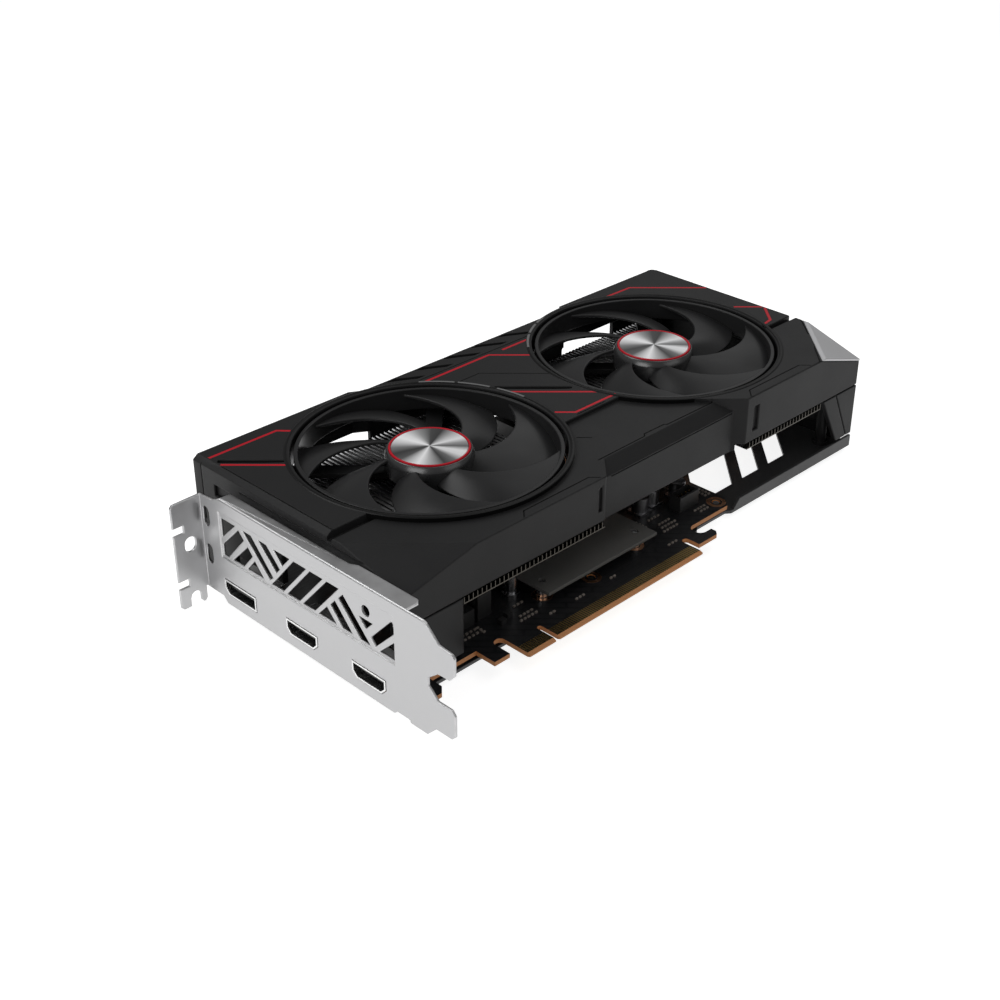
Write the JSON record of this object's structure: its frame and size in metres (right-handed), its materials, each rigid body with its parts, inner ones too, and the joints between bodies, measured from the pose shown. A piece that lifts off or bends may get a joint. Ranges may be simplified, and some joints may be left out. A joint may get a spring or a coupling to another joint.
{
  "type": "graphics card",
  "caption": "Dual-fan graphics card with an angular black shroud, finned heatsink, backplate, slotted mounting bracket and an edge connector.",
  "frame": {"origin": "centre of the bounding box's underside", "axes": "+X from the bracket to the tail, +Y from the edge connector to the power socket's side, +Z out of the fans"},
  "size_m": [0.2514, 0.1318, 0.0468],
  "materials": {
    "board": "solder-masked laminate, orange-brown cut edges",
    "gold": "thin gold plating",
    "copper": "bare copper rings and pipes",
    "bracket": "satin nickel plate",
    "shell": "plated sheet",
    "screw": "plated screws",
    "black_plastic": "black insulating plastic",
    "package": "black chip packages",
    "substrate": "chip carrier",
    "die": "polished silicon",
    "ceramic": "small ceramic parts",
    "choke": "moulded chokes",
    "capacitor": "aluminium cans",
    "pad": "soft grey pads",
    "plate": "dark coated plate",
    "cold_plate": "machined plate",
    "fins": "thin folded fins",
    "shroud": "fine-textured black",
    "trim": "silver-grey satin",
    "accent": "red inlay",
    "fan": "satin black",
    "badge": "circular brushed disc, bare"
  },
  "bodies": {
    "card": {"circuit_board": "board", "edge_contacts": "gold", "ground_rings": "copper", "io_bracket": "bracket", "bracket_screws": "screw", "displayport_shell": "shell", "displayport_core": "black_plastic", "hdmi_shells": "shell", "hdmi_cores": "black_plastic", "gpu_substrate": "substrate", "gpu_die": "die", "memory_chips": "package", "thermal_pads": "pad", "power_chokes": "choke", "power_drivers": "package", "capacitors": "capacitor", "ceramic_parts": "ceramic", "front_connectors": "shell", "fan_header": "black_plastic", "fan_header_pins": "gold", "power_socket": "black_plastic", "power_pins": "gold", "cooling_frame": "plate", "frame_posts": "copper", "cold_plate": "cold_plate", "heat_pipes": "copper", "front_fin_stack": "fins", "rear_fin_stack": "fins", "cooler_posts": "screw", "gpu_brace": "bracket", "spring_screws": "screw", "backplate": "plate", "backplate_screws": "screw", "shroud": "shroud", "corner_trim": "trim", "accent_lines": "accent", "shroud_front_cover": "shroud", "shroud_end_cover": "shroud", "fan_screws": "screw", "front_fan_frame": "fan", "front_fan_stator": "copper", "front_fan_bearing": "gold", "rear_fan_frame": "fan", "rear_fan_stator": "copper", "rear_fan_bearing": "gold"},
    "front_fan": {"front_fan_shaft": "screw", "front_fan_rotor": "fan", "front_fan_badge": "badge", "front_badge_ring": "accent"},
    "rear_fan": {"rear_fan_shaft": "screw", "rear_fan_rotor": "fan", "rear_fan_badge": "badge", "rear_badge_ring": "accent"}
  },
  "joints": [
    {"name": "front_fan_spin", "type": "hinge", "parent": "card", "child": "front_fan", "pos_m": [-0.04718, 0.01625, 0.04095], "axis": [0, 0, 1], "continuous": true},
    {"name": "rear_fan_spin", "type": "hinge", "parent": "card", "child": "rear_fan", "pos_m": [0.06802, 0.01625, 0.04095], "axis": [0, 0, 1], "continuous": true}
  ]
}
